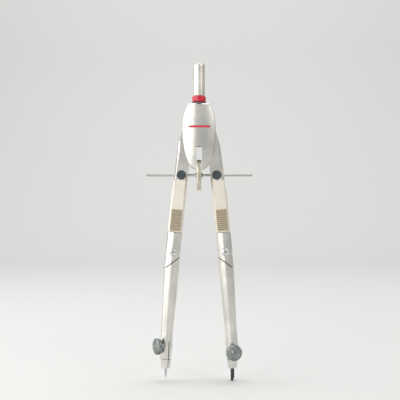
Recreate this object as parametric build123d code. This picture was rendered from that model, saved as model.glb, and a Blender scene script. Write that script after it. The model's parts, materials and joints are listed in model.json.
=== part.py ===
from build123d import *

import math
import os

# Quick-set drawing compass, in millimetres. The origin is the middle of the finger grip, +Z up the
# grip, +X to the lead leg and -Y to the front. Each leg's pieces are built for the right leg and
# mirrored for the left one.

# grip and collar
GRIP_R = 3.175
GRIP_HALF = 8.55
RING_R = 3.7
RING_HEIGHT = 3.25
STUD_R = 1.45
STUD_TOP = 2.0

# head: two domed covers with the geared leg heads between them
HEAD_TOP = -12.9
HEAD_WIDEST = -25.3
HEAD_BOTTOM = -48.2
HEAD_HALF_WIDTH = 8.82
HEAD_UPPER_SEMI = 16.0
HEAD_POWER = 2.4
COVER_INNER = 2.7
COVER_CROWN = 5.5
CROWN_Z = -28.0
CROWN_ACROSS_R = 20.9
CROWN_ALONG_R = 120.0
COVER_EDGE_CHAMFER = 0.3
COVER_CLEARANCE = 0.35
SLOT_HALF_WIDTH = 1.55
SLOT_TOP = -35.6
YOKE_BOTTOM = -17.6
YOKE_INSET = 0.4
YOKE_SHOULDER_R = 4.6
HEAD_SCREW_X = 3.2
HEAD_SCREW_Z = -15.3
HEAD_SCREW_R = 0.8

# leg pivots and the toothed leg heads
PIVOT_X = 3.5
PIVOT_Z = -22.0
PIVOT_R = 1.2
PIVOT_THREAD_R = 1.0
PIVOT_HEAD_R = 2.1
NECK_HALF = 2.5
TEETH = 14
TOOTH_ADDENDUM = 0.4
TOOTH_DEDENDUM = 0.55
PRESSURE_ANGLE = 20.0
BACKLASH = 0.12
CLOSE_ANGLE = 6.3
OPEN_ANGLE = 29.5

# leg axis: it bends a little at the knee
KNEE_X = 14.0
KNEE_Z = -92.0
UPPER_TILT = 5.7
LOWER_TILT = 4.2
TRUNNION_X = 9.45
TRUNNION_Z = -51.0

# upper leg
UPPER_TOP_R = 3.7
UPPER_TOP_SHIFT = -0.2
BARREL_R = 4.0
LEVER_SHOULDER = -7.6
FLAT_Y = -2.76
POCKET_Y = -1.9
POCKET_PRESSED_Y = -0.72
POCKET_TOP = 1.4
POCKET_END = -30.9
PIVOT_RADIAL_ROOM = 0.05

# release lever: a channel over the front of the leg
LEVER_BOTTOM = -30.6
LEVER_HALF_WIDTH = 2.9
LEVER_BACK = -2.0
CHEEK_INNER = 3.2
CHEEK_BACK = 0.5
CHEEK_POCKET_BACK = 1.8
LEVER_PIVOT_Y = -0.6
LEVER_PIVOT_W = -15.5
LEVER_PIN_R = 0.6
FORK_TOP = 0.8
FORK_BOTTOM = -3.5
FORK_HALF_WIDTH = 2.3
FORK_ROOM = 0.12
LEVER_TOP = -2.9
RIB_COUNT = 11
RIB_PITCH = 1.08
RIB_TOP = -18.9
RIB_HEIGHT = 0.32
RIB_WIDTH = 0.6
RIB_HALF_LENGTH = 2.8
SPRING_W = -26.0
SPRING_R = 1.05
SPRING_WIRE_R = 0.17

# trunnion and release plunger
TRUNNION_R = 2.35
TRUNNION_FLANGE_R = 2.7
TRUNNION_BACK = 3.6
TRUNNION_FLANGE_BACK = -1.45
FLANGE_SEAT_BACK = -1.42
CLIP_GROOVE_R = 2.0
CLIP_R = 2.85
CLIP_SEAT_R = 3.1
CLIP_SEAT_Y = 2.9
PLUNGER_R = 2.475
PLUNGER_FRONT = -3.3
PLUNGER_UNDER = -2.8
PLUNGER_DISH_R = 1.35
PLUNGER_DISH_DEPTH = 0.18
STEM_R = 1.3
STEM_BACK = 2.3
SEAT_RISE = 3.4
SEAT_SLOPE_Y = -3.3
SEAT_SLOPE_LENGTH = 14.0

# spindle and centre wheel
SPINDLE_R = 0.65
SPINDLE_HALF = 28.7
WHEEL_R = 8.26
WHEEL_HALF = 1.15
COLLAR_START = 1.22
COLLAR_END = 2.05

# knee: the mitred joint between the two leg lengths
MITRE_ANGLE = 41.5
MITRE_REACH = 4.51
MITRE_GAP = 0.14
HORN_TOP = -2.1
TONGUE_HALF = 1.4
KNEE_SLOT_HALF = 1.6
TONGUE_R = 3.5
KNEE_SLOT_R = 3.75
KNEE_SHOULDER_R = 1.1
KNEE_THREAD_R = 0.9
KNEE_HEAD_R = 2.05
KNEE_HEAD_FRONT = -4.75
KNEE_HEAD_BACK = -3.5

# foot clamp, thumb screw and points
FOOT_Z = -142.0
FOOT_TILT = 1.0
SLEEVE_R = 1.3
NOZZLE_TOP = -7.65
NOZZLE_END = -12.4
NOZZLE_TOP_R = 3.0
NOZZLE_END_R = 2.35
SCREW_OFFSET = 2.1
THUMB_NECK_START = 2.62
THUMB_HEAD_START = 5.0
THUMB_HEAD_END = 7.6
THUMB_HEAD_R = 4.3
THUMB_NECK_R = 1.6
THUMB_THREAD_R = 0.7
THUMB_THREAD_END = -2.4
RIGHT_SCREW = {"turn": -12.0, "hand": 1, "drop": -3.2}
LEFT_SCREW = {"turn": 62.0, "hand": -1, "drop": -0.3}
NEEDLE_R = 0.6
NEEDLE_TIP = -18.0
LEAD_R = 1.0
LEAD_TIP = -19.3

# frames of the right leg, worked out from the driving dimensions
KNEE = Location((KNEE_X, 0, KNEE_Z), (0, -UPPER_TILT, 0))
SHIN = Location((KNEE_X, 0, KNEE_Z), (0, -LOWER_TILT, 0))
to_knee = KNEE.inverse() * Location((TRUNNION_X, 0, TRUNNION_Z))
KNEE_W = -to_knee.position.Z
TRUNNION_U = to_knee.position.X
LEG = KNEE * Location((0, 0, -KNEE_W))
pivot_in_leg = LEG.inverse() * Location((PIVOT_X, 0, PIVOT_Z))
PIVOT_U = pivot_in_leg.position.X
PIVOT_W = pivot_in_leg.position.Z
shin_drop = (KNEE_Z - FOOT_Z) / math.cos(math.radians(LOWER_TILT))
foot_point = (SHIN * Location((0, 0, -shin_drop))).position
FOOT = Location((foot_point.X, 0, foot_point.Z), (0, -FOOT_TILT, 0))


def rod(radius, start, end, axis="z", at=(0, 0)):
    """A round bar from start to end along one axis, with its centre line at the other two."""
    length = end - start
    middle = (start + end) / 2
    if axis == "x":
        return Pos(middle, at[0], at[1]) * Rot(0, 90, 0) * Cylinder(radius, length)
    if axis == "y":
        return Pos(at[0], middle, at[1]) * Rot(90, 0, 0) * Cylinder(radius, length)
    return Pos(at[0], at[1], middle) * Cylinder(radius, length)


def block(x, y, z):
    """A box between the two limits given for each axis."""
    size = [limits[1] - limits[0] for limits in (x, y, z)]
    centre = [(limits[1] + limits[0]) / 2 for limits in (x, y, z)]
    return Pos(*centre) * Box(*size)


def slab(face, start, end):
    """A face drawn as (x, z) on the front plane, made solid from y = start to y = end."""
    flat = Rot(90, 0, 0) * face
    return Pos(0, start, 0) * extrude(flat, amount=end - start, dir=(0, 1, 0))


def closed_face(*edges):
    return make_face(Wire(edges))


# ---------------------------------------------------------------- grip
def grip_handle():
    grip = rod(GRIP_R, -GRIP_HALF, GRIP_HALF)
    grip = chamfer(grip.edges().group_by(Axis.Z)[-1], 0.35)
    return grip - rod(STUD_R, -GRIP_HALF - 1, STUD_TOP + 0.4)


def grip_collar_ring():
    bottom = -GRIP_HALF - RING_HEIGHT
    ring = rod(RING_R, bottom, -GRIP_HALF)
    ring = fillet(ring.edges(), 0.7)
    return ring - rod(STUD_R, bottom - 1, 0)


def handle_stud():
    stud = rod(STUD_R, YOKE_BOTTOM + 0.5, STUD_TOP)
    return chamfer(stud.edges(), 0.25)


# ---------------------------------------------------------------- head
def head_outline(grow=0.0, steps=9):
    """The egg-shaped outline, grown all round by a margin, as a face drawn as (x, z).

    It is an ellipse above the widest level and a fuller superellipse below it.
    """
    wide = HEAD_HALF_WIDTH + grow
    top = HEAD_TOP + grow
    deep = HEAD_WIDEST - HEAD_BOTTOM + grow
    side = []
    for i in range(steps):
        z = top + (HEAD_WIDEST - top) * i / steps
        rise = (z - HEAD_WIDEST) / (HEAD_UPPER_SEMI + grow)
        side.append((wide * math.sqrt(1 - rise**2), z))
    for i in range(steps):
        swing = math.pi / 2 * i / steps
        across = wide * math.cos(swing) ** (2 / HEAD_POWER)
        down = deep * math.sin(swing) ** (2 / HEAD_POWER)
        side.append((across, HEAD_WIDEST - down))
    side.append((0, HEAD_WIDEST - deep))
    right = Spline(*side)
    left = Spline(*[(-x, z) for x, z in side])
    lid = Line((-side[0][0], top), (side[0][0], top))
    outline = closed_face(lid, right, left)
    return fillet(outline.vertices().group_by(Axis.Y)[-1], 1.0)


def cover_blank():
    """The front cover before its holes: the outline under a crowned surface."""
    reach = 24.0
    sag = CROWN_ALONG_R - math.sqrt(CROWN_ALONG_R**2 - reach**2)
    axis_y = CROWN_ACROSS_R - COVER_CROWN
    high = (-COVER_CROWN + sag, CROWN_Z + reach)
    low = (-COVER_CROWN + sag, CROWN_Z - reach)
    profile = closed_face(
        ThreePointArc(high, (-COVER_CROWN, CROWN_Z), low),
        Line(low, (axis_y, low[1])),
        Line((axis_y, low[1]), (axis_y, high[1])),
        Line((axis_y, high[1]), high),
    )
    crown = revolve(Plane.YZ * profile, Axis((0, axis_y, 0), (0, 0, 1)))
    blank = crown & slab(head_outline(), -COVER_CROWN - 1, -COVER_INNER)
    rim = [e for e in blank.edges() if e.center().Y < -COVER_INNER - 0.4]
    return chamfer(rim, COVER_EDGE_CHAMFER)


def wheel_slot():
    return block((-SLOT_HALF_WIDTH, SLOT_HALF_WIDTH), (-9, 9), (HEAD_BOTTOM - 5, SLOT_TOP))


def front_cover():
    cover = cover_blank() - wheel_slot()
    for side in (-1, 1):
        cover -= rod(PIVOT_THREAD_R, -4.3, 0, "y", (side * PIVOT_X, PIVOT_Z))
        cover -= rod(HEAD_SCREW_R, -3.7, 0, "y", (side * HEAD_SCREW_X, HEAD_SCREW_Z))
    return cover


def back_cover():
    cover = mirror(cover_blank(), Plane.XZ) - wheel_slot()
    for side in (-1, 1):
        cover -= rod(PIVOT_R, 0, 9, "y", (side * PIVOT_X, PIVOT_Z))
        cover -= rod(PIVOT_HEAD_R + 0.1, 4.0, 9, "y", (side * PIVOT_X, PIVOT_Z))
        cover -= rod(HEAD_SCREW_R, 0, 9, "y", (side * HEAD_SCREW_X, HEAD_SCREW_Z))
        cover -= rod(1.5, 3.6, 9, "y", (side * HEAD_SCREW_X, HEAD_SCREW_Z))
    return cover


def head_yoke():
    """The block between the covers, with the round shoulder that carries the collar ring."""
    body = Pos(0, 0, YOKE_INSET + 0.1) * slab(head_outline(-YOKE_INSET), -COVER_INNER, COVER_INNER)
    body &= block((-20, 20), (-9, 9), (YOKE_BOTTOM, HEAD_TOP + 0.05))
    top = -GRIP_HALF - RING_HEIGHT
    shoulder = Pos(0, 0, (HEAD_TOP + 0.05 + top) / 2) * Cone(
        YOKE_SHOULDER_R, RING_R - 0.2, top - HEAD_TOP - 0.05
    )
    body += shoulder
    body -= rod(STUD_R, YOKE_BOTTOM + 0.5, 0)
    for side in (-1, 1):
        body -= rod(HEAD_SCREW_R, -9, 9, "y", (side * HEAD_SCREW_X, HEAD_SCREW_Z))
    return body


def slotted_head(radius, start, end, at):
    """A screw head facing the back, with a driver slot."""
    head = rod(radius, start, end, "y", at)
    head = chamfer(head.edges().group_by(Axis.Y)[-1], 0.2)
    slot = block((at[0] - radius, at[0] + radius), (end - 0.4, end + 1), (at[1] - 0.25, at[1] + 0.25))
    return head - slot


def head_screws():
    screws = []
    for side in (-1, 1):
        at = (side * HEAD_SCREW_X, HEAD_SCREW_Z)
        screw = rod(HEAD_SCREW_R, -3.5, 3.7, "y", at)
        screw += slotted_head(1.4, 3.6, 4.3, at)
        screws.append(screw)
    return screws


def pivot_screw():
    at = (PIVOT_X, PIVOT_Z)
    screw = rod(PIVOT_THREAD_R, -4.1, 0, "y", at)
    screw += rod(PIVOT_R, -COVER_INNER, 4.1, "y", at)
    screw += slotted_head(PIVOT_HEAD_R, 4.0, 4.9, at)
    return screw


def friction_washers():
    washers = []
    for side in (-1, 1):
        at = (side * PIVOT_X, PIVOT_Z)
        for start in (-COVER_INNER, NECK_HALF):
            end = start + COVER_INNER - NECK_HALF
            washer = rod(3.1, start, end, "y", at)
            washer -= rod(PIVOT_R, start - 1, end + 1, "y", at)
            washers.append(washer)
    return washers


# ---------------------------------------------------------------- toothed leg head
def involute(angle):
    return math.tan(angle) - angle


def tooth(centre_angle):
    """One tooth as a face about the pivot, with involute flanks drawn as arcs."""
    pitch_r = PIVOT_X
    base_r = pitch_r * math.cos(math.radians(PRESSURE_ANGLE))
    tip_r = pitch_r + TOOTH_ADDENDUM
    thickness = math.pi * pitch_r / TEETH - BACKLASH / 2
    half = thickness / 2 / pitch_r + involute(math.radians(PRESSURE_ANGLE))

    def flank(radius, side):
        turn = half - involute(math.acos(min(1.0, base_r / radius)))
        angle = centre_angle + side * turn
        return (radius * math.cos(angle), radius * math.sin(angle))

    def inner(side):
        angle = centre_angle + side * half
        root = pitch_r - TOOTH_DEDENDUM - 0.4
        return (root * math.cos(angle), root * math.sin(angle))

    middle_r = (base_r + tip_r) / 2
    rise = ThreePointArc(flank(base_r, -1), flank(middle_r, -1), flank(tip_r, -1))
    tip = (tip_r * math.cos(centre_angle), tip_r * math.sin(centre_angle))
    crest = ThreePointArc(flank(tip_r, -1), tip, flank(tip_r, 1))
    fall = ThreePointArc(flank(tip_r, 1), flank(middle_r, 1), flank(base_r, 1))
    return closed_face(
        Line(inner(-1), flank(base_r, -1)),
        rise,
        crest,
        fall,
        Line(flank(base_r, 1), inner(1)),
        Line(inner(1), inner(-1)),
    )


def leg_gear(phase):
    """The toothed head of a right leg about its pivot; phase 0 puts a tooth at the mesh point."""
    pitch = 2 * math.pi / TEETH
    root = PIVOT_X - TOOTH_DEDENDUM
    gear = rod(root, -NECK_HALF, NECK_HALF, "y")
    for i in range(TEETH):
        face = tooth(math.pi + (i + phase) * pitch)
        gear += slab(face, -NECK_HALF, NECK_HALF)
    return Pos(PIVOT_X, 0, PIVOT_Z) * gear


# ---------------------------------------------------------------- upper leg
def neck_outline():
    """The flat of the upper leg in the leg's frame, from the barrel to the pivot."""
    shoulder = (2.93, 15.3)
    bend = (1.46, 23.3)
    crest = (PIVOT_U + 3.2, PIVOT_W + 2.1)
    return closed_face(
        Line((3.5, -1.0), shoulder),
        ThreePointArc(shoulder, bend, crest),
        Line(crest, (PIVOT_U, PIVOT_W)),
        Line((PIVOT_U, PIVOT_W), (PIVOT_U - 2.3, PIVOT_W - 4.3)),
        Line((PIVOT_U - 2.3, PIVOT_W - 4.3), (-3.85, 6.0)),
        Line((-3.85, 6.0), (-3.8, -1.0)),
        Line((-3.8, -1.0), (3.5, -1.0)),
    )


def leg_barrel():
    """The round body of the upper leg, down past the knee."""
    lower = rod(BARREL_R, KNEE_W - 12, LEVER_SHOULDER)
    upper = rod(UPPER_TOP_R, LEVER_SHOULDER - 1, 18, at=(UPPER_TOP_SHIFT, 0))
    above = slab(neck_outline(), -5, 5)
    below = block((-6, 6), (-6, 6), (KNEE_W - 13, 0))
    return (lower + upper) & (above + below)


def cover_clearance():
    """Two plates, where the covers stand beside the closed leg, with room around their edges."""
    swept = head_outline(COVER_CLEARANCE)
    pivot = Axis((PIVOT_X, 0, PIVOT_Z), (0, 1, 0))
    spans = ((-6, -NECK_HALF), (NECK_HALF, 6))
    return [slab(swept, start, end).rotate(pivot, -CLOSE_ANGLE) for start, end in spans]


def lever_pocket():
    """The room for the release lever in the leg's frame, with the travel of its pressed pad."""
    centre = LEVER_PIVOT_W + 1
    front = make_face(
        Polyline(
            (-9, POCKET_TOP),
            (POCKET_Y, POCKET_TOP),
            (POCKET_Y, centre),
            (POCKET_PRESSED_Y, POCKET_END),
            (-9, POCKET_END),
            close=True,
        )
    )
    pocket = extrude(Plane.YZ * front, amount=9, both=True)
    pocket &= block((-9, 9), (-9, 9), (POCKET_END, TRUNNION_U - 2.0))
    for side in (-1, 1):
        inner, outer = sorted((side * (CHEEK_INNER - 0.08), side * 9))
        pocket += block((inner, outer), (-9, CHEEK_POCKET_BACK), (POCKET_END, LEVER_SHOULDER))
    return pocket


def disc_seat():
    """The flat and the round seat for the plunger's head, in the leg's frame."""
    top = SEAT_RISE + SEAT_SLOPE_LENGTH
    flat = make_face(
        Polyline((-9, -9), (FLAT_Y, -9), (FLAT_Y, SEAT_RISE), (SEAT_SLOPE_Y, top), (-9, top), close=True)
    )
    seat = extrude(Plane.YZ * flat, amount=9, both=True)
    seat += rod(PLUNGER_R + 0.15, -9, POCKET_Y, "y", (TRUNNION_U, 0))
    seat += rod(TRUNNION_FLANGE_R + 0.08, POCKET_Y, FLANGE_SEAT_BACK, "y", (TRUNNION_U, 0))
    half = FORK_HALF_WIDTH + 0.1
    return seat + block((TRUNNION_U - half, TRUNNION_U + half), (-9, POCKET_Y), (FORK_BOTTOM, 0))


def spindle_window():
    """The slots in the leg's sides that let the spindle stay level while the leg swings."""
    reach = 5.6
    half = SPINDLE_R + 0.25
    angles = (CLOSE_ANGLE - UPPER_TILT + 1, -OPEN_ANGLE - UPPER_TILT - 1)
    shape = None
    for angle in angles:
        bar = Rot(0, 0, angle) * Rectangle(2 * reach, 2 * half)
        shape = bar if shape is None else shape + bar
    for side in (-1, 1):
        ends = [
            (side * reach * math.cos(math.radians(a)), side * reach * math.sin(math.radians(a)))
            for a in angles
        ]
        shape += make_face(Polyline((0, 0), *ends, close=True))
    return Pos(TRUNNION_U, 0, 0) * slab(shape, -half, half)


def mitre_keep(above):
    """The half of the mitred knee kept by one leg length, about the knee pivot.

    The line is straight on the outer side and turns into an arc about the pivot on the inner side,
    so that the lower leg folds inwards without touching.
    """
    tilt = math.radians(MITRE_ANGLE)
    normal = Vector(math.sin(tilt), math.cos(tilt))
    along = Vector(math.cos(tilt), -math.sin(tilt))
    gap = MITRE_GAP if above else -MITRE_GAP
    foot = normal * -(MITRE_REACH - gap)
    outer = foot + along * 14
    horn_u = -math.sqrt((MITRE_REACH - gap) ** 2 - HORN_TOP**2)
    horn = (horn_u, HORN_TOP)
    middle = Vector(foot.X + horn_u, foot.Y + HORN_TOP).normalized() * (MITRE_REACH - gap)
    arc = ThreePointArc(horn, (middle.X, middle.Y), (foot.X, foot.Y))
    line = Line((foot.X, foot.Y), (outer.X, outer.Y))
    far = 90 if above else -90
    edge = Line((outer.X, outer.Y), (outer.X, far))
    across = Line((outer.X, far), (-14, far))
    back = Line((-14, far), (-14, HORN_TOP))
    shelf = Line((-14, HORN_TOP), horn)
    return slab(closed_face(arc, line, edge, across, back, shelf), -9, 9)


def upper_leg(phase):
    leg = leg_barrel()
    leg += slab(neck_outline(), -NECK_HALF, NECK_HALF)
    leg &= Pos(0, 0, KNEE_W) * mitre_keep(True)
    knee_slot = rod(KNEE_SLOT_R, -KNEE_SLOT_HALF, KNEE_SLOT_HALF, "y", (0, KNEE_W))
    knee_slot += block((-9, 9), (-KNEE_SLOT_HALF, KNEE_SLOT_HALF), (KNEE_W - 14, KNEE_W))
    leg -= knee_slot
    leg -= rod(KNEE_SHOULDER_R, -9, 0, "y", (0, KNEE_W))
    leg -= rod(KNEE_THREAD_R, 0, 9, "y", (0, KNEE_W))
    leg -= rod(KNEE_HEAD_R + 0.1, -9, KNEE_HEAD_BACK, "y", (0, KNEE_W))
    leg -= lever_pocket()
    leg -= disc_seat()
    leg -= rod(TRUNNION_R + PIVOT_RADIAL_ROOM, -9, 9, "y", (TRUNNION_U, 0))
    leg -= rod(CLIP_SEAT_R, CLIP_SEAT_Y, 9, "y", (TRUNNION_U, 0))
    leg -= spindle_window()
    leg -= rod(LEVER_PIN_R, -9, 9, "x", (LEVER_PIVOT_Y, LEVER_PIVOT_W))
    leg -= rod(SPRING_R + 0.3, -9, 1.6, "y", (0, SPRING_W))
    leg = LEG * leg
    for plate in cover_clearance():
        leg -= plate
    leg += leg_gear(phase)
    return leg - rod(PIVOT_R + PIVOT_RADIAL_ROOM, -9, 9, "y", (PIVOT_X, PIVOT_Z))


# ---------------------------------------------------------------- release lever
def release_lever():
    shell = rod(BARREL_R, LEVER_BOTTOM, LEVER_TOP)
    shell &= block((-9, 9), (FLAT_Y, CHEEK_BACK), (LEVER_BOTTOM, LEVER_TOP))
    shell -= block((-CHEEK_INNER, CHEEK_INNER), (LEVER_BACK, 9), (LEVER_BOTTOM - 1, 0))
    shell -= block((-9, 9), (LEVER_BACK, 9), (LEVER_SHOULDER - 0.4, 0))
    outer = (TRUNNION_U - FORK_HALF_WIDTH, TRUNNION_U + FORK_HALF_WIDTH)
    gap_r = STEM_R + FORK_ROOM
    fork = block(outer, (FLAT_Y, LEVER_BACK), (FORK_BOTTOM, FORK_TOP))
    fork -= rod(gap_r, -9, 9, "y", (TRUNNION_U, 0))
    fork -= block((TRUNNION_U - gap_r, TRUNNION_U + gap_r), (-9, 9), (0, 9))
    lever = shell + fork
    for i in range(RIB_COUNT):
        w = RIB_TOP - i * RIB_PITCH
        half = RIB_WIDTH / 2
        ridge = make_face(
            Polyline(
                (FLAT_Y + 0.2, w - half),
                (FLAT_Y, w - half),
                (FLAT_Y - RIB_HEIGHT, w - half * 0.5),
                (FLAT_Y - RIB_HEIGHT, w + half * 0.5),
                (FLAT_Y, w + half),
                (FLAT_Y + 0.2, w + half),
                close=True,
            )
        )
        lever += extrude(Plane.YZ * ridge, amount=RIB_HALF_LENGTH, both=True)
    lever -= rod(LEVER_PIN_R + 0.04, -9, 9, "x", (LEVER_PIVOT_Y, LEVER_PIVOT_W))
    return LEG * lever


def lever_pin():
    pin = rod(LEVER_PIN_R, -3.8, 3.8, "x", (LEVER_PIVOT_Y, LEVER_PIVOT_W))
    return LEG * chamfer(pin.edges(), 0.12)


def lever_spring():
    """A compression spring under the ribbed end of the lever."""
    bottom = 1.6 - SPRING_WIRE_R
    top = LEVER_BACK + SPRING_WIRE_R + 0.02
    height = bottom - top
    path = Helix(pitch=height / 4, height=height, radius=SPRING_R)
    start = Plane(origin=path @ 0, z_dir=path % 0)
    coil = sweep(start * Circle(SPRING_WIRE_R), path=path, is_frenet=True)
    return LEG * Pos(0, bottom, SPRING_W) * Rot(90, 0, 0) * coil


# ---------------------------------------------------------------- trunnion, plunger, spindle
def trunnion_nut():
    at = (TRUNNION_X, TRUNNION_Z)
    nut = rod(TRUNNION_R, POCKET_Y, TRUNNION_BACK, "y", at)
    nut += rod(TRUNNION_FLANGE_R, POCKET_Y, TRUNNION_FLANGE_BACK, "y", at)
    nut -= rod(STEM_R + 0.05, -9, 2.6, "y", at)
    nut -= rod(9, 3.0, 3.4, "y", at) - rod(CLIP_GROOVE_R, 2.9, 3.5, "y", at)
    return nut - rod(SPINDLE_R + 0.05, -40, 40, "x", (0, TRUNNION_Z))


def trunnion_clip():
    at = (TRUNNION_X, TRUNNION_Z)
    clip = rod(CLIP_R, 3.03, 3.37, "y", at) - rod(CLIP_GROOVE_R, 2, 4, "y", at)
    mouth = block((at[0] - 0.9, at[0] + 0.9), (2, 4), (at[1] - 4, at[1]))
    return clip - mouth


def release_plunger():
    at = (TRUNNION_X, TRUNNION_Z)
    head = rod(PLUNGER_R, PLUNGER_FRONT, PLUNGER_UNDER, "y", at)
    head = fillet(head.edges().group_by(Axis.Y)[0], 0.18)
    head -= rod(PLUNGER_DISH_R, PLUNGER_FRONT - 1, PLUNGER_FRONT + PLUNGER_DISH_DEPTH, "y", at)
    plunger = head + rod(STEM_R, PLUNGER_UNDER - 0.1, STEM_BACK, "y", at)
    half = SPINDLE_R + 0.08
    slot = block((-40, 40), (-0.72, 1.95), (TRUNNION_Z - half, TRUNNION_Z + half))
    return plunger - slot


def spindle():
    bar = rod(SPINDLE_R, -SPINDLE_HALF, SPINDLE_HALF, "x", (0, TRUNNION_Z))
    return chamfer(bar.edges(), 0.2)


def centre_wheel():
    wheel = rod(WHEEL_R, -WHEEL_HALF, WHEEL_HALF, "x", (0, TRUNNION_Z))
    wheel = chamfer(wheel.edges(), 0.25)
    return wheel - rod(SPINDLE_R, -9, 9, "x", (0, TRUNNION_Z))


def wheel_collars():
    collars = []
    length = COLLAR_END - COLLAR_START
    for side in (-1, 1):
        middle = side * (COLLAR_START + COLLAR_END) / 2
        collar = Pos(middle, 0, TRUNNION_Z) * Rot(0, side * 90, 0) * Cone(1.6, 1.0, length)
        collars.append(collar - rod(SPINDLE_R + 0.04, -9, 9, "x", (0, TRUNNION_Z)))
    return collars


# ---------------------------------------------------------------- knee and lower leg
def knee_screw():
    head = rod(KNEE_HEAD_R, KNEE_HEAD_FRONT, KNEE_HEAD_BACK, "y", (0, KNEE_W))
    head = fillet(head.edges().group_by(Axis.Y)[0], 1.1)
    screw = head + rod(KNEE_SHOULDER_R, KNEE_HEAD_BACK - 0.1, KNEE_SLOT_HALF, "y", (0, KNEE_W))
    screw += rod(KNEE_THREAD_R, 1.5, 3.75, "y", (0, KNEE_W))
    return LEG * screw


def knee_washers():
    washers = []
    for start in (-KNEE_SLOT_HALF, TONGUE_HALF):
        end = start + KNEE_SLOT_HALF - TONGUE_HALF
        washer = rod(2.6, start, end, "y") - rod(KNEE_SHOULDER_R, start - 1, end + 1, "y")
        washers.append(KNEE * washer)
    return washers


def shin_profile():
    """The lower leg's half section: a long taper, then the swell of the clamp."""
    points = [(3.97, -10), (3.87, -15), (3.6, -28), (3.22, -44), (3.38, -50), (3.34, -55.5)]
    side = Spline(*points)
    return closed_face(
        Line((0, 0), (3.97, 0)),
        Line((3.97, 0), points[0]),
        side,
        Line(points[-1], (3.0, -57.5)),
        Line((3.0, -57.5), (0, -57.5)),
        Line((0, -57.5), (0, 0)),
    )


def screw_frame(screw):
    """The thumb screw's axis as local +Z, out of the leg, set beside the sleeve's bore."""
    turn = math.radians(screw["turn"])
    out = Vector(math.sin(turn), -math.cos(turn), 0)
    across = Vector(math.cos(turn), math.sin(turn), 0) * screw["hand"]
    plane = Plane(origin=across * SCREW_OFFSET + Vector(0, 0, screw["drop"]), x_dir=across, z_dir=out)
    return FOOT * plane.location


def clamp_slit(screw, width, top):
    """The saw cut from the sleeve's bore out through the side that the thumb screw squeezes."""
    cut = block((0, 9), (-width / 2, width / 2), (-20, top))
    facing = screw["turn"] if screw["hand"] > 0 else screw["turn"] + 180
    return FOOT * Rot(0, 0, facing) * cut


def lower_leg(screw):
    leg = revolve(Plane.XZ * shin_profile(), Axis.Z) & mitre_keep(False)
    tongue = rod(TONGUE_R, -TONGUE_HALF, TONGUE_HALF, "y")
    tongue += block((-3.2, 3.2), (-TONGUE_HALF, TONGUE_HALF), (-10, 0))
    leg += tongue
    leg -= rod(KNEE_SHOULDER_R + 0.05, -9, 9, "y")
    leg = SHIN * leg
    leg -= FOOT * rod(SLEEVE_R, -20, 9.2)
    leg -= clamp_slit(screw, 0.5, 2.0)
    at_screw = screw_frame(screw)
    leg -= at_screw * rod(0.8, 0, 9)
    leg -= at_screw * rod(THUMB_THREAD_R, -9, 0)
    leg -= at_screw * rod(2.2, THUMB_NECK_START - 0.07, 9)
    return leg


def sleeve(screw, bore_r):
    """The split sleeve clamped in the foot, with the tapered nozzle below it."""
    shank = rod(SLEEVE_R, NOZZLE_TOP - 1, 9)
    height = NOZZLE_TOP - NOZZLE_END
    nozzle = Pos(0, 0, (NOZZLE_TOP + NOZZLE_END) / 2) * Cone(NOZZLE_END_R, NOZZLE_TOP_R, height)
    nozzle = fillet(nozzle.edges().group_by(Axis.Z)[0], 0.35)
    body = shank + nozzle
    body -= rod(bore_r, NOZZLE_END - 1, 8.4)
    return FOOT * body - clamp_slit(screw, 0.3, 4.0)


def thumb_screw(screw):
    head = rod(THUMB_HEAD_R, THUMB_HEAD_START, THUMB_HEAD_END)
    head = fillet(head.edges().group_by(Axis.Z)[-1], 0.8)
    head = chamfer(head.edges().group_by(Axis.Z)[0], 0.3)
    body = head + rod(THUMB_NECK_R, THUMB_NECK_START, THUMB_HEAD_START + 0.2)
    body += rod(THUMB_THREAD_R, THUMB_THREAD_END, THUMB_NECK_START + 0.2)
    return screw_frame(screw) * body


def needle():
    shank = rod(NEEDLE_R, NEEDLE_TIP + 3.0, 4.0)
    point = Pos(0, 0, NEEDLE_TIP + 1.5) * Cone(0.06, NEEDLE_R, 3.0)
    return FOOT * (shank + point)


def lead():
    stick = rod(LEAD_R, LEAD_TIP, 3.0)
    bevel = Pos(LEAD_R, 0, LEAD_TIP) * Rot(0, 22, 0) * Box(1.6, 4, 9)
    return FOOT * (stick - bevel)


# ---------------------------------------------------------------- everything
def legs():
    """Both legs' pieces by node name; the left leg is mirrored, half a tooth out of step."""
    pieces = {}
    for side in ("left", "right"):
        left = side == "left"
        screw = LEFT_SCREW if left else RIGHT_SCREW
        made = {
            "pivot_screw": pivot_screw(),
            "upper_leg": upper_leg(0.5 if left else 0.0),
            "release_lever": release_lever(),
            "lever_pin": lever_pin(),
            "lever_spring": lever_spring(),
            "trunnion_nut": trunnion_nut(),
            "trunnion_clip": trunnion_clip(),
            "release_plunger": release_plunger(),
            "knee_screw": knee_screw(),
            "knee_washers": knee_washers(),
            "lower_leg": lower_leg(screw),
            "needle_holder" if left else "lead_sleeve": sleeve(screw, (NEEDLE_R if left else LEAD_R) + 0.03),
            "thumb_screw": thumb_screw(screw),
        }
        for name, piece in made.items():
            solids = piece if isinstance(piece, list) else [piece]
            if left:
                solids = [mirror(solid, Plane.YZ) for solid in solids]
            pieces[f"{side}_{name}"] = solids
    pieces["needle"] = [mirror(needle(), Plane.YZ)]
    pieces["lead"] = [lead()]
    return pieces


def build():
    pieces = {
        "grip_handle": grip_handle(),
        "grip_collar_ring": grip_collar_ring(),
        "handle_stud": handle_stud(),
        "head_yoke": head_yoke(),
        "front_cover": front_cover(),
        "back_cover": back_cover(),
        "head_screws": head_screws(),
        "friction_washers": friction_washers(),
        "spindle": spindle(),
        "centre_wheel": centre_wheel(),
        "wheel_collars": wheel_collars(),
    }
    pieces.update(legs())
    return pieces


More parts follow.
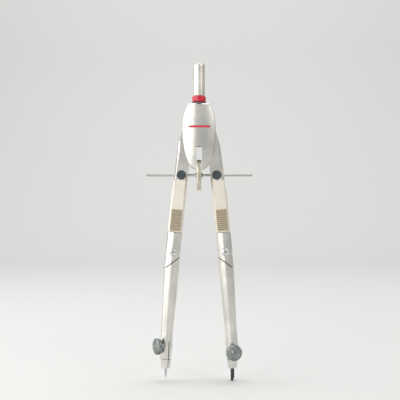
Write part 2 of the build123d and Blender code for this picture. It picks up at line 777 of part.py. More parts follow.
def main():
    os.makedirs("parts", exist_ok=True)
    for name, piece in build().items():
        solids = []
        for item in piece if isinstance(piece, list) else [piece]:
            solids += item.solids()
        shape = solids[0] if len(solids) == 1 else Compound(solids)
        export_step(shape, f"parts/{name}.step")


main()
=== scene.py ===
import json
import math

import bmesh
import bpy
from mathutils import Matrix, Vector


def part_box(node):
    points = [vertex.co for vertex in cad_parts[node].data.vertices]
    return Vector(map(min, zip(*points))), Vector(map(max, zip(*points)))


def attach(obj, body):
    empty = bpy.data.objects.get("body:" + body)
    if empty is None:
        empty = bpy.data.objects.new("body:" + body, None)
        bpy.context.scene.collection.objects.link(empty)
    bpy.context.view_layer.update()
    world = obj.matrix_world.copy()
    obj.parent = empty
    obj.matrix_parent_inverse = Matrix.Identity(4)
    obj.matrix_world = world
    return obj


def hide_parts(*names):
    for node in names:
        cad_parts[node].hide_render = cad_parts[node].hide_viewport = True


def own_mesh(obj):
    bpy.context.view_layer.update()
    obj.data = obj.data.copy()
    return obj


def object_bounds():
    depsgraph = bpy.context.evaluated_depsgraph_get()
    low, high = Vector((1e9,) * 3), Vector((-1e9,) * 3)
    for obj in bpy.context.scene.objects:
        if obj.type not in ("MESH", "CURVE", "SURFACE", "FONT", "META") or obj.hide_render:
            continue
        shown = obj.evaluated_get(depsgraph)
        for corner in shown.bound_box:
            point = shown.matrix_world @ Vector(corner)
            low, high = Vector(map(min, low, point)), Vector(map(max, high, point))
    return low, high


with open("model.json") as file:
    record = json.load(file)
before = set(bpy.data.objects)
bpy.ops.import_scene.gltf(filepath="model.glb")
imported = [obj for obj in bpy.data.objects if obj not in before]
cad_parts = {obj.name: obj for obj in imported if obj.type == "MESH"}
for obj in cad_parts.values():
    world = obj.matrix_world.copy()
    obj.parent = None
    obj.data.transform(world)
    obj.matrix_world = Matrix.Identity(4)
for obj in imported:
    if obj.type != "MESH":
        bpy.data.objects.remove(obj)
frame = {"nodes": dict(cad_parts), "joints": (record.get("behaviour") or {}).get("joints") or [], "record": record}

cad_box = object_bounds()

MM = 0.001
SIDES = ("left", "right")


# ---------------------------------------------------------------- measures from the frame
def low_high(node):
    """A node's lowest and highest corners at rest."""
    low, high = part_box(node)
    return Vector(low), Vector(high)


def joint(name):
    return next(j for j in frame["joints"] if j["name"] == name)


SPINDLE_AT = Vector(joint("wheel_turn")["pos_m"])

# The legs lean by this many degrees. The rest is in mm: the middle of each disc, the ribbed pad
# along the leg from that middle, and the plane of the lever's flat front.
LEG_TILT = 5.7
LEG_MIDDLE_X = 9.9032
LEG_MIDDLE_Z = -50.955
FIRST_RIB = -18.9
RIB_PITCH = 1.08
PAD_TOP = -18.4
PAD_BOTTOM = -30.0
FLAT_FRONT = -2.74

# The mitre at each knee slopes by this many degrees, and this is how far it lies below the frame's
# origin, square to the slope, in mm.
MITRE_ANGLE = 35.8
MITRE_FROM_CENTRE = 70.94

# grip
GROOVES = 13
GROOVE_PITCH = 1.08 * MM
GROOVE_DEPTH = 0.09 * MM
GROOVES_LOWERED = 0.3 * MM
# a groove's rounded section: mm above its middle, and share of its depth
GROOVE_SECTION = (
    (-0.38, 0), (-0.24, 0.3), (-0.1, 0.88), (0, 1), (0.1, 0.88), (0.24, 0.3), (0.38, 0)
)
GRIP_FOOT_CHAMFER = 0.2 * MM
# the chamfered top: mm in from the side, and mm down from the top
GRIP_TOP = ((0, 0.4), (0.12, 0.12), (0.45, 0), (1.1, 0), (1.4, 0.12))
GRIP_DISH = 0.16 * MM

# spindle
THREAD_PITCH = 0.35 * MM
THREAD_DEPTH = 0.06 * MM
THREAD_BURIED = 0.01 * MM
# a thread's section: share of the pitch along the spindle, and whether it is on the crest
THREAD_SECTION = ((0.0, False), (0.38, True), (0.52, True), (0.9, False), (1.0, False))
THREAD_STEPS = 16
PLAIN_HALF = 2.2 * MM
PLAIN_SHOULDER = 0.1 * MM
SPINDLE_TIP = 0.6 * MM
SPINDLE_ROUND = 0.25 * MM

# centre wheel
WHEEL_RIBS = 120
STEPS_PER_RIB = 3
RIB_DEPTH = 0.12 * MM
RIB_REACH = 0.3 * MM
RIB_RUNOUT = 0.14 * MM
WEB_SUNK = 0.35 * MM

# thumb screws
SCREW_RIM = 4.3 * MM
SCREW_BACK = 5.0 * MM
SCREW_TOP = 7.6 * MM
SCREW_TEETH = 30
STEPS_PER_TOOTH = 5
KNURL_ROWS = 10
KNURL_DEPTH = 0.34 * MM
# the thread and the neck: radius and height in mm
SCREW_STEM = (
    (0, -2.4), (0.5, -2.4), (0.7, -2.2), (0.7, 2.62),
    (1.6, 2.62), (1.6, 4.6), (1.9, 5.0), (3.9, 5.0),
)
# the ringed face and its bright centre: radius and depth below the top in mm
SCREW_FACE = (
    (4.05, 0.38), (3.7, 0.3), (3.55, 0.2), (3.3, 0.2), (3.2, 0.26), (3.0, 0.26), (2.9, 0.19),
    (2.4, 0.18), (2.3, 0.24), (2.1, 0.24), (2.0, 0.18), (1.1, 0.24), (0.9, 0.16), (0.5, 0), (0, 0),
)

# lever springs
SPRING_WIRE = 0.17 * MM
SPRING_TURNS = 4
SPRING_STEPS = 24

# printed bar
BAR_LENGTH = 11.6 * MM
BAR_HEIGHT = 1.2 * MM
BAR_BELOW_TOP = 12.3 * MM
INK_LIFT = 0.015 * MM
INK_THICKNESS = 0.012 * MM


# ---------------------------------------------------------------- shaping tools
def finish_mesh(name, bm, body, material, replaces=(), smooth_angle=35):
    """Closes a shaped bmesh into a piece that rides on a body and wears its material."""
    bmesh.ops.remove_doubles(bm, verts=bm.verts, dist=1e-7)
    bmesh.ops.recalc_face_normals(bm, faces=bm.faces)
    mesh = bpy.data.meshes.new(name)
    bm.to_mesh(mesh)
    bm.free()
    piece = bpy.data.objects.new(name, mesh)
    bpy.context.scene.collection.objects.link(piece)
    mesh.materials.append(material)
    mesh.shade_smooth()
    mesh.set_sharp_from_angle(angle=math.radians(smooth_angle))
    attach(piece, body)
    if replaces:
        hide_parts(*replaces)
    return piece


def lathe(profile, steps=64):
    """Turns a profile of (radius, height) about Z, as on a lathe."""
    bm = bmesh.new()
    line = [bm.verts.new((radius, 0, height)) for radius, height in profile]
    edges = [bm.edges.new(pair) for pair in zip(line, line[1:])]
    bmesh.ops.spin(
        bm, geom=line + edges, cent=(0, 0, 0), axis=(0, 0, 1), dvec=(0, 0, 0),
        angle=2 * math.pi, steps=steps, use_merge=True, use_normal_flip=False, use_duplicate=False,
    )
    bmesh.ops.remove_doubles(bm, verts=bm.verts, dist=1e-7)
    return bm


def place(bm, origin, axis):
    """Moves a turned shape so that its Z axis lies along an axis through a point."""
    turn = Vector((0, 0, 1)).rotation_difference(Vector(axis)).to_matrix().to_4x4()
    bmesh.ops.transform(bm, matrix=Matrix.Translation(origin) @ turn, verts=bm.verts)


# ---------------------------------------------------------------- material tools
def linear(hex_colour):
    """An sRGB hex colour as linear red, green, blue and alpha."""
    parts = [int(hex_colour[i : i + 2], 16) / 255 for i in (1, 3, 5)]
    return (
        *(p / 12.92 if p <= 0.04045 else ((p + 0.055) / 1.055) ** 2.4 for p in parts),
        1.0,
    )


def add_node(tree, kind, inputs=None, **settings):
    """Adds a node with its settings; inputs maps a socket to a value or to what feeds it."""
    node = tree.nodes.new(kind)
    for key, value in settings.items():
        setattr(node, key, value)
    for socket, value in (inputs or {}).items():
        if isinstance(value, bpy.types.NodeSocket):
            tree.links.new(value, node.inputs[socket])
        else:
            node.inputs[socket].default_value = value
    return node


def new_material(name, **shader):
    """A node material with a Principled shader; returns the material, its tree and the shader."""
    material = bpy.data.materials.new(name)
    material.use_nodes = True
    tree = material.node_tree
    tree.nodes.clear()
    surface = add_node(tree, "ShaderNodeBsdfPrincipled", shader)
    add_node(tree, "ShaderNodeOutputMaterial", {"Surface": surface.outputs["BSDF"]})
    return material, tree, surface


def per_metre(size_mm):
    """A noise scale whose features are about this many millimetres across."""
    return 1.0 / (size_mm * MM)


# sockets of a Mix node: its factor, its two numbers, its two colours and its mixed colour
BLEND, NUMBER_A, NUMBER_B, FIRST, SECOND, MIXED = 0, 2, 3, 6, 7, 2


# ---------------------------------------------------------------- finishes
def pearl_chrome(name, pale, dull, rough=(0.26, 0.38), seam=False):
    """Pearl chrome on a zinc casting: bead-blasted before plating, so light spreads in soft bands.

    The grain is about 0.1 mm on the real one and drawn at 0.22 mm so that it shows; polishing marks
    run along the piece, and handling leaves faint cloudy patches. With a seam, the parting line at
    each knee is unpolished and drawn dark as painted shade of its narrow gap with a little grime,
    drawn 0.4 mm wide so that it shows.
    """
    material, tree, surface = new_material(name, Metallic=1.0)
    there = add_node(tree, "ShaderNodeTexCoord").outputs["Object"]
    drawn = add_node(
        tree, "ShaderNodeMapping", {"Vector": there, "Scale": (1, 1, 0.05)}
    ).outputs["Vector"]
    grain = add_node(
        tree,
        "ShaderNodeTexNoise",
        {"Vector": there, "Scale": per_metre(0.22), "Detail": 3.0, "Roughness": 0.6},
    ).outputs["Fac"]
    cloud = add_node(
        tree, "ShaderNodeTexNoise", {"Vector": there, "Scale": per_metre(9.0), "Detail": 3.0}
    ).outputs["Fac"]
    lines = add_node(
        tree, "ShaderNodeTexNoise", {"Vector": drawn, "Scale": per_metre(0.35)}
    ).outputs["Fac"]
    patch = add_node(
        tree, "ShaderNodeMapRange", {"Value": cloud, "From Min": 0.35, "From Max": 0.65}
    ).outputs["Result"]
    colour = add_node(
        tree,
        "ShaderNodeMix",
        {BLEND: patch, FIRST: linear(dull), SECOND: linear(pale)},
        data_type="RGBA",
    ).outputs[MIXED]
    if seam:
        # painted shade: the knee's narrow gap is drawn dark grey, with a little grime, fading out between 0.16 and
        # 0.3 mm from the mitre
        gap_shade_and_dirt = add_node(
            tree,
            "ShaderNodeMapRange",
            {"Value": distance_from_mitre(tree, there), "From Min": 0.3, "From Max": 0.16},
        ).outputs["Result"]
        colour = add_node(
            tree,
            "ShaderNodeMix",
            {BLEND: gap_shade_and_dirt, FIRST: colour, SECOND: linear("#3C3D3E")},
            data_type="RGBA",
        ).outputs[MIXED]
    tree.links.new(colour, surface.inputs["Base Color"])
    uneven = add_node(
        tree, "ShaderNodeMix", {BLEND: 0.4, NUMBER_A: cloud, NUMBER_B: grain}, data_type="FLOAT"
    ).outputs[0]
    sheen = add_node(
        tree, "ShaderNodeMapRange", {"Value": uneven, "To Min": rough[0], "To Max": rough[1]}
    )
    tree.links.new(sheen.outputs["Result"], surface.inputs["Roughness"])
    blasted = add_node(
        tree, "ShaderNodeBump", {"Height": grain, "Distance": 0.012 * MM, "Strength": 0.5}
    ).outputs["Normal"]
    polished = add_node(
        tree,
        "ShaderNodeBump",
        {"Height": lines, "Distance": 0.01 * MM, "Strength": 0.35, "Normal": blasted},
    ).outputs["Normal"]
    tree.links.new(polished, surface.inputs["Normal"])
    return material


def distance_from_mitre(tree, there):
    """How far a point is from the knees' slanted parting line, in millimetres."""
    slope = math.radians(MITRE_ANGLE)
    parts = add_node(tree, "ShaderNodeSeparateXYZ", {0: there}).outputs
    outward = add_node(tree, "ShaderNodeMath", {0: parts["X"]}, operation="ABSOLUTE").outputs[0]
    sideways = add_node(
        tree,
        "ShaderNodeMath",
        {0: outward, 1: math.sin(slope) / MM, 2: MITRE_FROM_CENTRE},
        operation="MULTIPLY_ADD",
    ).outputs[0]
    across = add_node(
        tree,
        "ShaderNodeMath",
        {0: parts["Z"], 1: math.cos(slope) / MM, 2: sideways},
        operation="MULTIPLY_ADD",
    ).outputs[0]
    return add_node(tree, "ShaderNodeMath", {0: across}, operation="ABSOLUTE").outputs[0]


def distance_along_leg(tree, parts):
    """How far a point is along its leg in millimetres: 0 at the disc, falling towards the knee."""
    tilt = math.radians(LEG_TILT)
    start = LEG_MIDDLE_X * math.sin(tilt) - LEG_MIDDLE_Z * math.cos(tilt)
    outward = add_node(tree, "ShaderNodeMath", {0: parts["X"]}, operation="ABSOLUTE").outputs[0]
    sideways = add_node(
        tree,
        "ShaderNodeMath",
        {0: outward, 1: -math.sin(tilt) / MM, 2: start},
        operation="MULTIPLY_ADD",
    ).outputs[0]
    return add_node(
        tree,
        "ShaderNodeMath",
        {0: parts["Z"], 1: math.cos(tilt) / MM, 2: sideways},
        operation="MULTIPLY_ADD",
    ).outputs[0]


def lever_lacquer():
    """Warm off-white baked lacquer over a pressed lever: softer light than the plated legs.

    The ribbed pad is drawn a darker tan as painted shade between the ribs, darkest in the grooves.
    """
    material, tree, surface = new_material(
        "lever_lacquer", Metallic=0.3, **{"Coat Weight": 0.2, "Coat Roughness": 0.25}
    )
    there = add_node(tree, "ShaderNodeTexCoord").outputs["Object"]
    cloud = add_node(
        tree, "ShaderNodeTexNoise", {"Vector": there, "Scale": per_metre(6.0), "Detail": 3.0}
    ).outputs["Fac"]
    peel = add_node(
        tree, "ShaderNodeTexNoise", {"Vector": there, "Scale": per_metre(0.5)}
    ).outputs["Fac"]
    patch = add_node(
        tree, "ShaderNodeMapRange", {"Value": cloud, "From Min": 0.3, "From Max": 0.7}
    ).outputs["Result"]
    lacquer_tone = add_node(
        tree,
        "ShaderNodeMix",
        {BLEND: patch, FIRST: linear("#E9E1D3"), SECOND: linear("#F3ECE0")},
        data_type="RGBA",
    ).outputs[MIXED]

    # the pad is the ribbed stretch of the lever's front face
    parts = add_node(tree, "ShaderNodeSeparateXYZ", {0: there}).outputs
    level = distance_along_leg(tree, parts)
    ribbed = add_node(
        tree,
        "ShaderNodeMath",
        {0: level, 1: (PAD_TOP + PAD_BOTTOM) / 2, 2: (PAD_TOP - PAD_BOTTOM) / 2},
        operation="COMPARE",
    ).outputs[0]
    front = add_node(
        tree, "ShaderNodeMath", {0: parts["Y"], 1: FLAT_FRONT * MM}, operation="LESS_THAN"
    ).outputs[0]
    pad = add_node(tree, "ShaderNodeMath", {0: ribbed, 1: front}, operation="MULTIPLY").outputs[0]

    # painted shade: the pad is drawn tan, and each groove darker than the rib crest beside it
    per_rib = 2 * math.pi / RIB_PITCH
    turn = add_node(
        tree,
        "ShaderNodeMath",
        {0: level, 1: per_rib, 2: -FIRST_RIB * per_rib},
        operation="MULTIPLY_ADD",
    ).outputs[0]
    crest = add_node(tree, "ShaderNodeMath", {0: turn}, operation="COSINE").outputs[0]
    rib_shade_mask = add_node(
        tree, "ShaderNodeMapRange", {"Value": crest, "From Min": -0.8, "From Max": 0.5}
    ).outputs["Result"]
    # painted rib shade: a tan groove colour and a paler crest colour
    painted_rib_shade = add_node(
        tree,
        "ShaderNodeMix",
        {BLEND: rib_shade_mask, FIRST: linear("#A0927C"), SECOND: linear("#CABDA8")},
        data_type="RGBA",
    ).outputs[MIXED]
    colour = add_node(
        tree, "ShaderNodeMix", {BLEND: pad, FIRST: lacquer_tone, SECOND: painted_rib_shade}, data_type="RGBA"
    )
    tree.links.new(colour.outputs[MIXED], surface.inputs["Base Color"])
    sheen = add_node(tree, "ShaderNodeMapRange", {"Value": peel, "To Min": 0.36, "To Max": 0.48})
    tree.links.new(sheen.outputs["Result"], surface.inputs["Roughness"])
    orange_peel = add_node(
        tree, "ShaderNodeBump", {"Height": peel, "Distance": 0.01 * MM, "Strength": 0.3}
    )
    tree.links.new(orange_peel.outputs["Normal"], surface.inputs["Normal"])
    return material


def turned_steel(name, pale, dull, rough, ring_mm, turn=(0, 0, 0)):
    """Steel turned on a lathe and polished: fine tool rings across the piece's axis."""
    material, tree, surface = new_material(name, Metallic=1.0)
    there = add_node(tree, "ShaderNodeTexCoord").outputs["Object"]
    lathed = add_node(
        tree,
        "ShaderNodeMapping",
        {"Vector": there, "Rotation": turn, "Scale": (0.06, 0.06, 1)},
    ).outputs["Vector"]
    rings = add_node(
        tree, "ShaderNodeTexNoise", {"Vector": lathed, "Scale": per_metre(ring_mm)}
    ).outputs["Fac"]
    cloud = add_node(
        tree, "ShaderNodeTexNoise", {"Vector": there, "Scale": per_metre(3.0)}
    ).outputs["Fac"]
    patch = add_node(
        tree, "ShaderNodeMapRange", {"Value": cloud, "From Min": 0.3, "From Max": 0.7}
    ).outputs["Result"]
    colour = add_node(
        tree,
        "ShaderNodeMix",
        {BLEND: patch, FIRST: linear(dull), SECOND: linear(pale)},
        data_type="RGBA",
    )
    tree.links.new(colour.outputs[MIXED], surface.inputs["Base Color"])
    sheen = add_node(
        tree, "ShaderNodeMapRange", {"Value": rings, "To Min": rough[0], "To Max": rough[1]}
    )
    tree.links.new(sheen.outputs["Result"], surface.inputs["Roughness"])
    tooled = add_node(
        tree, "ShaderNodeBump", {"Height": rings, "Distance": 0.006 * MM, "Strength": 0.5}
    )
    tree.links.new(tooled.outputs["Normal"], surface.inputs["Normal"])
    return material


def moulded_plastic(name, deep, bright, cloud_mm, pebble_mm, rough, depth_mm, **shader):
    """Plastic dyed through and moulded: slightly uneven colour, and the mould's texture."""
    material, tree, surface = new_material(name, **shader)
    there = add_node(tree, "ShaderNodeTexCoord").outputs["Object"]
    cloud = add_node(
        tree, "ShaderNodeTexNoise", {"Vector": there, "Scale": per_metre(cloud_mm)}
    ).outputs["Fac"]
    pebble = add_node(
        tree, "ShaderNodeTexNoise", {"Vector": there, "Scale": per_metre(pebble_mm)}
    ).outputs["Fac"]
    patch = add_node(
        tree, "ShaderNodeMapRange", {"Value": cloud, "From Min": 0.33, "From Max": 0.67}
    ).outputs["Result"]
    colour = add_node(
        tree,
        "ShaderNodeMix",
        {BLEND: patch, FIRST: linear(deep), SECOND: linear(bright)},
        data_type="RGBA",
    )
    tree.links.new(colour.outputs[MIXED], surface.inputs["Base Color"])
    sheen = add_node(
        tree, "ShaderNodeMapRange", {"Value": pebble, "To Min": rough[0], "To Max": rough[1]}
    )
    tree.links.new(sheen.outputs["Result"], surface.inputs["Roughness"])
    texture = add_node(
        tree, "ShaderNodeBump", {"Height": pebble, "Distance": depth_mm * MM, "Strength": 0.4}
    )
    tree.links.new(texture.outputs["Normal"], surface.inputs["Normal"])
    return material


def gloss_abs(name, deep, bright):
    """Injection-moulded gloss ABS: a clear sheen over faint sink marks."""
    coat = {"Coat Weight": 0.3, "Coat Roughness": 0.08}
    return moulded_plastic(name, deep, bright, 2.5, 1.1, (0.16, 0.28), 0.01, IOR=1.53, **coat)


def matte_acetal(name, deep, bright):
    """Moulded acetal with a spark-eroded mould texture: a dull sheen and a faint pebble."""
    return moulded_plastic(name, deep, bright, 2.0, 0.3, (0.38, 0.55), 0.02, IOR=1.48)


def pad_print(name, deep, bright):
    """Matte pad-printing ink: a little uneven, and duller than the moulded ring."""
    return moulded_plastic(name, deep, bright, 0.6, 0.6, (0.4, 0.55), 0.005, IOR=1.48)


def graphite_stick():
    """Extruded graphite and clay: dark grey with a greasy shine along the stick."""
    material, tree, surface = new_material("graphite_stick", Metallic=0.35)
    there = add_node(tree, "ShaderNodeTexCoord").outputs["Object"]
    along = add_node(
        tree, "ShaderNodeMapping", {"Vector": there, "Scale": (1, 1, 0.08)}
    ).outputs["Vector"]
    drawn = add_node(
        tree, "ShaderNodeTexNoise", {"Vector": along, "Scale": per_metre(0.25), "Detail": 3.0}
    ).outputs["Fac"]
    patch = add_node(
        tree, "ShaderNodeMapRange", {"Value": drawn, "From Min": 0.3, "From Max": 0.75}
    ).outputs["Result"]
    colour = add_node(
        tree,
        "ShaderNodeMix",
        {BLEND: patch, FIRST: linear("#2B2D31"), SECOND: linear("#4A4E54")},
        data_type="RGBA",
    )
    tree.links.new(colour.outputs[MIXED], surface.inputs["Base Color"])
    sheen = add_node(tree, "ShaderNodeMapRange", {"Value": drawn, "To Min": 0.32, "To Max": 0.5})
    tree.links.new(sheen.outputs["Result"], surface.inputs["Roughness"])
    ridges = add_node(
        tree, "ShaderNodeBump", {"Height": drawn, "Distance": 0.01 * MM, "Strength": 0.5}
    )
    tree.links.new(ridges.outputs["Normal"], surface.inputs["Normal"])
    return material


# turns a lathe's rings to lie across a piece whose axis is X
SIDEWAYS = (0, math.pi / 2, 0)

# the finish of each material slot
FINISHES = {
    "satin_chrome": pearl_chrome("pearl_chrome", "#E9E6E0", "#D8D6D0", seam=True),
    "grip_chrome": pearl_chrome("grip_chrome", "#EAE6DE", "#D8D4CC", rough=(0.34, 0.44)),
    "satin_lever": lever_lacquer(),
    "polished_steel": turned_steel("polished_steel", "#EDEEEE", "#DADCDD", (0.06, 0.16), 0.1),
    "spindle_steel": turned_steel(
        "spindle_steel", "#B7B9B0", "#A2A59D", (0.3, 0.42), 0.12, SIDEWAYS
    ),
    "wheel_nickel": turned_steel(
        "satin_nickel", "#DAD6C4", "#C4BFAC", (0.22, 0.36), 0.15, SIDEWAYS
    ),
    "thumb_steel": turned_steel("knurled_steel", "#9A9F9C", "#7C8280", (0.2, 0.34), 0.12),
    # painted shade: the yoke wears the pearl chrome drawn dark grey, for the shade it sits in under the ring
    "yoke_zinc": pearl_chrome("painted_shade_zinc", "#6E7072", "#595B5D", rough=(0.34, 0.46)),
    "stud_steel": turned_steel("plain_steel", "#B9BBBD", "#A2A4A6", (0.25, 0.36), 0.15),
    "spring_steel": turned_steel("spring_wire", "#9EA1A5", "#84878B", (0.22, 0.34), 0.1),
    "trunnion_brass": turned_steel("turned_brass", "#D9BE7A", "#C2A463", (0.18, 0.3), 0.12),
    "red_ring": gloss_abs("crimson_abs", "#B80F2A", "#D81F3C"),
    "slate_plastic": matte_acetal("slate_acetal", "#353F43", "#475357"),
    "nylon": matte_acetal("natural_nylon", "#D8D5C8", "#E6E3D8"),
    "needle_steel": turned_steel("hardened_steel", "#C3CBD2", "#ABB3BA", (0.12, 0.22), 0.1),
    "graphite": graphite_stick(),
}
BAR_INK = pad_print("pad_print_crimson", "#C2303F", "#D64250")


def dress_cad_nodes():
    """Gives every carried-over node the finish of its material slot."""
    slot_of = {s["node"]: s["material_slot"] for s in frame["record"]["subparts"]}
    for node, obj in frame["nodes"].items():
        for holder in obj.material_slots:
            holder.material = FINISHES[slot_of[node]]


# ---------------------------------------------------------------- grip
def grooved_grip():
    """The grip with its turned grip rings and a chamfered, slightly dished top."""
    low, high = low_high("grip_handle")
    radius = high.x
    foot = low.z
    profile = [(0, foot), (radius - GRIP_FOOT_CHAMFER, foot), (radius, foot + GRIP_FOOT_CHAMFER)]
    first = -GROOVE_PITCH * (GROOVES - 1) / 2 - GROOVES_LOWERED
    for i in range(GROOVES):
        middle = first + i * GROOVE_PITCH
        for lift, inward in GROOVE_SECTION:
            profile.append((radius - GROOVE_DEPTH * inward, middle + lift * MM))
    for inward, down in GRIP_TOP:
        profile.append((radius - inward * MM, high.z - down * MM))
    profile.append((0, high.z - GRIP_DISH))
    finish_mesh(
        "grooved_grip", lathe(profile, 72), "head", FINISHES["grip_chrome"],
        ["grip_handle"], 50,
    )


# ---------------------------------------------------------------- spindle and wheel
def threaded_half(side, start, end, crest):
    """One threaded half of the spindle; the two halves are cut with opposite hands."""
    root = crest - THREAD_DEPTH - THREAD_BURIED
    turns = int((end - start) / THREAD_PITCH)
    bm = bmesh.new()
    line = [
        bm.verts.new((crest if on_crest else root, 0, start + part * THREAD_PITCH))
        for part, on_crest in THREAD_SECTION
    ]
    edges = [bm.edges.new(pair) for pair in zip(line, line[1:])]
    bmesh.ops.spin(
        bm, geom=line + edges, cent=(0, 0, 0), axis=(0, 0, 1),
        dvec=(0, 0, THREAD_PITCH / THREAD_STEPS), angle=2 * math.pi * turns,
        steps=THREAD_STEPS * turns, use_merge=False, use_normal_flip=False, use_duplicate=False,
    )
    bmesh.ops.remove_doubles(bm, verts=bm.verts, dist=2e-6)
    place(bm, SPINDLE_AT, (1, 0, 0))
    if side == "left":
        bmesh.ops.scale(bm, vec=(-1, 1, 1), verts=bm.verts)
    return bm


def threaded_spindle():
    """The centre spindle: a plain middle, and threads of opposite hand out to rounded ends."""
    low, high = low_high("spindle")
    crest = (high.z - low.z) / 2
    reach = high.x
    core = crest - THREAD_DEPTH
    half = [
        (crest, PLAIN_HALF),
        (core, PLAIN_HALF + PLAIN_SHOULDER),
        (core, reach - SPINDLE_TIP * 0.5),
        (core - SPINDLE_ROUND, reach),
        (0, reach),
    ]
    rod = lathe([(r, -x) for r, x in reversed(half)] + half, 24)
    place(rod, SPINDLE_AT, (1, 0, 0))
    for side in SIDES:
        thread = threaded_half(side, PLAIN_HALF, reach - SPINDLE_TIP, crest)
        mesh = bpy.data.meshes.new("thread")
        thread.to_mesh(mesh)
        thread.free()
        rod.from_mesh(mesh)
        bpy.data.meshes.remove(mesh)
    finish_mesh(
        "threaded_spindle", rod, "wheel", FINISHES["spindle_steel"],
        ["spindle"], 40,
    )


def knurled_wheel():
    """The centre wheel: a finely ribbed rim round a dished web and a raised hub."""
    low, high = low_high("centre_wheel")
    radius = (high.z - low.z) / 2
    half = high.x
    web = half - WEB_SUNK
    face = [
        # hub
        (0, half),
        (1.9 * MM, half),
        (2.1 * MM, half - 0.12 * MM),
        # web
        (2.4 * MM, web),
        (radius - 2.0 * MM, web),
        # rim
        (radius - 1.7 * MM, half - 0.1 * MM),
        (radius - 1.5 * MM, half),
        (radius - 0.45 * MM, half),
        (radius - 0.15 * MM, half - 0.14 * MM),
        (radius, half - 0.34 * MM),
        (radius, half * 0.35),
    ]
    profile = [(r, -x) for r, x in face] + [(r, x) for r, x in reversed(face)]
    wheel = lathe(profile, WHEEL_RIBS * STEPS_PER_RIB)
    for v in wheel.verts:
        reach = math.hypot(v.co.x, v.co.y)
        if reach > radius - RIB_REACH:
            wave = 0.5 * (1 - math.cos(math.atan2(v.co.y, v.co.x) * WHEEL_RIBS))
            runout = min(1, (half - abs(v.co.z)) / RIB_RUNOUT)
            v.co.xy *= (reach - RIB_DEPTH * wave * runout) / reach
    place(wheel, SPINDLE_AT, (1, 0, 0))
    finish_mesh(
        "knurled_wheel", wheel, "wheel", FINISHES["wheel_nickel"],
        ["centre_wheel"], 40,
    )


# ---------------------------------------------------------------- lever springs
def coil_spring(side):
    """The coil spring under a release lever."""
    low, high = low_high(f"{side}_lever_spring")
    middle = (low + high) / 2
    coil = (high.z - low.z) / 2 - SPRING_WIRE
    length = high.y - low.y - 2 * SPRING_WIRE
    steps = SPRING_STEPS * SPRING_TURNS
    bm = bmesh.new()
    bmesh.ops.create_circle(bm, cap_ends=False, segments=8, radius=SPRING_WIRE)
    bmesh.ops.rotate(bm, matrix=Matrix.Rotation(math.radians(90), 3, "X"), verts=bm.verts)
    bmesh.ops.translate(bm, vec=(coil, 0, 0), verts=bm.verts)
    bmesh.ops.spin(
        bm, geom=bm.verts[:] + bm.edges[:], cent=(0, 0, 0), axis=(0, 0, 1),
        dvec=(0, 0, length / steps), angle=2 * math.pi * SPRING_TURNS, steps=steps,
        use_merge=False, use_normal_flip=False, use_duplicate=False,
    )
    bmesh.ops.holes_fill(bm, edges=[e for e in bm.edges if e.is_boundary], sides=8)
    place(bm, (middle.x, low.y + SPRING_WIRE, middle.z), (0, 1, 0))
    spring = finish_mesh(
        f"{side}_coil_spring", bm, f"{side}_leg", FINISHES["spring_steel"],
        [f"{side}_lever_spring"],
    )
    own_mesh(spring)


# ---------------------------------------------------------------- thumb screws
def thumb_screw(side):
    """A thumb screw: a diamond-knurled rim, a domed face with turned rings and a bright centre."""
    turn = joint(f"{side}_thumb_screw_turn")
    profile = [(r * MM, z * MM) for r, z in SCREW_STEM]
    knurl_foot = SCREW_BACK + 0.2 * MM
    knurl_height = SCREW_TOP - SCREW_BACK - 0.75 * MM
    for i in range(KNURL_ROWS):
        profile.append((SCREW_RIM, knurl_foot + knurl_height * i / (KNURL_ROWS - 1)))
    profile += [(r * MM, SCREW_TOP - down * MM) for r, down in SCREW_FACE]
    screw = lathe(profile, SCREW_TEETH * STEPS_PER_TOOTH)
    for v in screw.verts:
        reach = math.hypot(v.co.x, v.co.y)
        if reach > SCREW_RIM - 0.3 * MM and v.co.z > SCREW_BACK + 0.1 * MM:
            angle = math.atan2(v.co.y, v.co.x) * SCREW_TEETH / 2
            climb = (v.co.z - SCREW_BACK) / SCREW_RIM * SCREW_TEETH / 2
            ridge = min(abs(math.sin(angle + climb)), abs(math.sin(angle - climb)))
            v.co.xy *= (reach - KNURL_DEPTH * (1 - ridge) ** 1.3) / reach
    place(screw, Vector(turn["pos_m"]), Vector(turn["axis"]).normalized())
    finish_mesh(
        f"{side}_knurled_thumb_screw", screw, f"{side}_thumb",
        FINISHES["thumb_steel"], [f"{side}_thumb_screw"], 30,
    )


# ---------------------------------------------------------------- print on the cover
def printed_bar():
    """A plain printed bar that lies on the crown of the front cover."""
    cover = frame["nodes"]["front_cover"]
    low, high = low_high("front_cover")
    bm = bmesh.new()
    bmesh.ops.create_grid(bm, x_segments=32, y_segments=2, size=0.5)
    bmesh.ops.scale(bm, vec=(BAR_LENGTH, BAR_HEIGHT, 1), verts=bm.verts)
    bmesh.ops.rotate(bm, matrix=Matrix.Rotation(math.radians(90), 3, "X"), verts=bm.verts)
    bmesh.ops.translate(bm, vec=(0, 0, high.z - BAR_BELOW_TOP), verts=bm.verts)
    in_front = low.y - 10 * MM
    for v in bm.verts:
        met, spot, _, _ = cover.ray_cast((v.co.x, in_front, v.co.z), (0, 1, 0))
        if met:
            v.co.y = spot.y - INK_LIFT
    bmesh.ops.solidify(bm, geom=bm.faces[:], thickness=INK_THICKNESS)
    finish_mesh("printed_bar", bm, "head", BAR_INK)


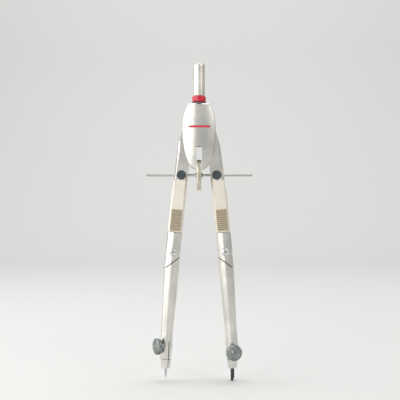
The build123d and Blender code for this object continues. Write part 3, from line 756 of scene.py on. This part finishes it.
# ---------------------------------------------------------------- studio
def pale_sweep():
    """A sheet of pale paper under the compass that curves up behind it."""
    floor_z = cad_box[0][2]
    floor_half = 3.0
    floor_middle_y = -2.2
    bend = 0.4
    wall = 1.2
    bm = bmesh.new()
    bmesh.ops.create_grid(bm, x_segments=1, y_segments=1, size=floor_half)
    bmesh.ops.translate(bm, vec=(0, floor_middle_y, floor_z), verts=bm.verts)
    back = [e for e in bm.edges if all(v.co.y > floor_middle_y for v in e.verts)]
    bmesh.ops.spin(
        bm, geom=back, cent=(0, floor_half + floor_middle_y, floor_z + bend), axis=(1, 0, 0),
        dvec=(0, 0, 0), angle=math.radians(90), steps=24, use_merge=False,
        use_normal_flip=False, use_duplicate=False,
    )
    top = [e for e in bm.edges if all(v.co.z > floor_z + bend - MM for v in e.verts)]
    lifted = bmesh.ops.extrude_edge_only(bm, edges=top)["geom"]
    lifted_verts = [g for g in lifted if isinstance(g, bmesh.types.BMVert)]
    bmesh.ops.translate(bm, vec=(0, 0, wall), verts=lifted_verts)
    mesh = bpy.data.meshes.new("pale_sweep")
    bm.to_mesh(mesh)
    bm.free()
    mesh.shade_smooth()
    sweep = bpy.data.objects.new("pale_sweep", mesh)
    bpy.context.scene.collection.objects.link(sweep)
    paper, _, surface = new_material("pale_paper", Roughness=0.85)
    surface.inputs["Base Color"].default_value = linear("#DCDCDB")
    mesh.materials.append(paper)


def softbox(name, at, size, power, tint, aim=(0, 0, -0.08)):
    """A rectangular area light that faces a point."""
    light = bpy.data.lights.new(name, "AREA")
    light.shape = "RECTANGLE"
    light.size, light.size_y = size
    light.energy = power
    light.color = tint
    lamp = bpy.data.objects.new(name, light)
    lamp.location = at
    lamp.rotation_euler = (Vector(aim) - Vector(at)).to_track_quat("-Z", "Y").to_euler()
    bpy.context.scene.collection.objects.link(lamp)


def lights():
    """A large soft light at the left, two weaker ones in front and one on the wall."""
    warm_white = (1.0, 0.99, 0.97)
    softbox("side_left", (-0.6, -0.02, 0.0), (0.5, 0.7), 2.3, warm_white)
    softbox("front_left", (-0.38, -0.5, 0.1), (0.36, 0.5), 1.5, warm_white)
    softbox(
        "front_right", (0.45, -0.42, 0.32), (0.25, 0.3), 0.7, (1.0, 0.98, 0.95), (0, 0, -0.03)
    )
    softbox("backdrop", (0.0, 0.2, 1.0), (1.2, 0.6), 8.0, (1, 1, 1), (0, 0.8, 0))

    # the plated metal sees a light grey room, while the room stays paler behind the object
    world = bpy.data.worlds.new("studio")
    bpy.context.scene.world = world
    world.use_nodes = True
    tree = world.node_tree
    tree.nodes.clear()
    room = add_node(tree, "ShaderNodeBackground", {"Color": linear("#BFC0BF"), "Strength": 1.0})
    pale = add_node(tree, "ShaderNodeBackground", {"Color": linear("#DFDFDE"), "Strength": 1.0})
    seen = add_node(tree, "ShaderNodeLightPath").outputs["Is Camera Ray"]
    mixed = add_node(
        tree, "ShaderNodeMixShader", {0: seen, 1: room.outputs[0], 2: pale.outputs[0]}
    )
    add_node(tree, "ShaderNodeOutputWorld", {"Surface": mixed.outputs[0]})


def camera():
    """A camera level with the middle of the compass, straight in front of it."""
    distance = 0.43
    view_width = 0.215
    optics = bpy.data.cameras.new("camera")
    optics.sensor_width = 36.0
    optics.lens = optics.sensor_width * distance / view_width
    optics.clip_start = 0.01
    holder = bpy.data.objects.new("camera", optics)
    holder.location = (0.0005, -distance, -0.0643)
    holder.rotation_euler = (math.radians(90), 0, 0)
    bpy.context.scene.collection.objects.link(holder)
    bpy.context.scene.camera = holder
    bpy.context.scene.view_settings.view_transform = "Standard"


dress_cad_nodes()
grooved_grip()
threaded_spindle()
knurled_wheel()
for side in SIDES:
    thumb_screw(side)
    coil_spring(side)
printed_bar()
pale_sweep()
lights()
camera()
